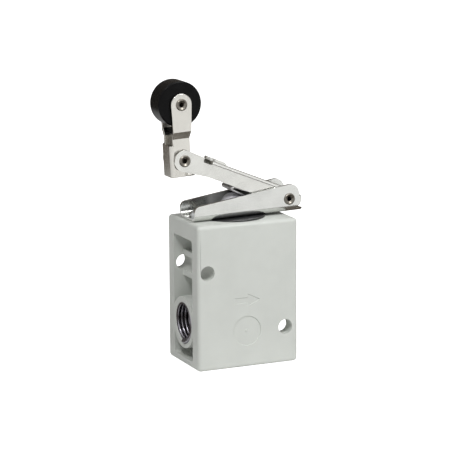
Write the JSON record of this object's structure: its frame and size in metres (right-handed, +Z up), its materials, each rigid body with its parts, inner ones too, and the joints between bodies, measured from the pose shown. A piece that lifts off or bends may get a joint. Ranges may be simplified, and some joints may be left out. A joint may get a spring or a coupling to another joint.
{
  "type": "mechanical valve",
  "caption": "Block-shaped three-port poppet valve worked by a spring-returned lever with a one-way folding roller.",
  "frame": {"origin": "centre of the block's underside, on the axis of the valve", "axes": "+X towards the side of the lever's pivot, +Y to the back of the block, +Z up along the valve's axis"},
  "size_m": [0.0519, 0.026, 0.0978],
  "materials": {
    "moulded_body": "fine satin moulding grain, pale grey",
    "black_plastic": "moulded, matte black",
    "bright_steel": "bright bent sheet, lightly brushed",
    "rivet_steel": "drawn steel tube, flared ends",
    "spring_steel": "bare spring wire and strip",
    "roller_plastic": "turned black plastic, satin",
    "button_plastic": "moulded, cool grey",
    "turned_brass": "turned",
    "black_rubber": "moulded nitrile rubber",
    "screw_steel": "zinc-plated"
  },
  "bodies": {
    "housing": {"body": "moulded_body", "guide_bush": "black_plastic", "bush_oring": "black_rubber", "plunger_oring": "black_rubber", "plunger_spring": "spring_steel", "seat_ring": "turned_brass", "seat_oring": "black_rubber", "poppet_spring": "spring_steel", "bottom_plug": "turned_brass", "plug_oring": "black_rubber", "base_bracket": "bright_steel", "bracket_screws": "screw_steel", "pivot_pin": "rivet_steel"},
    "lever": {"lever_arm": "bright_steel", "presser_leaf": "spring_steel", "hinge_pin": "rivet_steel"},
    "fork": {"roller_bracket": "bright_steel", "torsion_spring": "spring_steel", "roller_axle": "rivet_steel"},
    "wheel": {"roller": "roller_plastic"},
    "stem": {"plunger": "turned_brass", "button": "button_plastic"},
    "valve_cone": {"poppet": "turned_brass", "poppet_seal": "black_rubber"}
  },
  "joints": [
    {"name": "lever_swing", "type": "hinge", "parent": "housing", "child": "lever", "pos_m": [0.01844, 0, 0.0554], "axis": [0, -1, 0], "range_deg": [0, 9], "stiffness_Nm_per_rad": 0.4, "springref_deg": -14.32},
    {"name": "button_press", "type": "slide", "parent": "housing", "child": "stem", "axis": [0, 0, -1], "range_m": [0, 0.0028], "deforming": ["plunger_spring"]},
    {"name": "poppet_lift", "type": "slide", "parent": "housing", "child": "valve_cone", "axis": [0, 0, -1], "range_m": [0, 0.0018], "deforming": ["poppet_spring"]},
    {"name": "fork_fold", "type": "hinge", "parent": "lever", "child": "fork", "pos_m": [-0.01949, 0, 0.07111], "axis": [0, 1, 0], "range_deg": [0, 60], "stiffness_Nm_per_rad": 0.008, "springref_deg": -22.92},
    {"name": "roller_spin", "type": "hinge", "parent": "fork", "child": "wheel", "pos_m": [-0.02049, 0, 0.09012], "axis": [0, 1, 0], "continuous": true}
  ],
  "couplings": [
    {"joint": "button_press", "follows": "lever_swing", "m_per_rad": 0.0174},
    {"joint": "poppet_lift", "follows": "lever_swing", "m_per_rad": 0.0106}
  ]
}
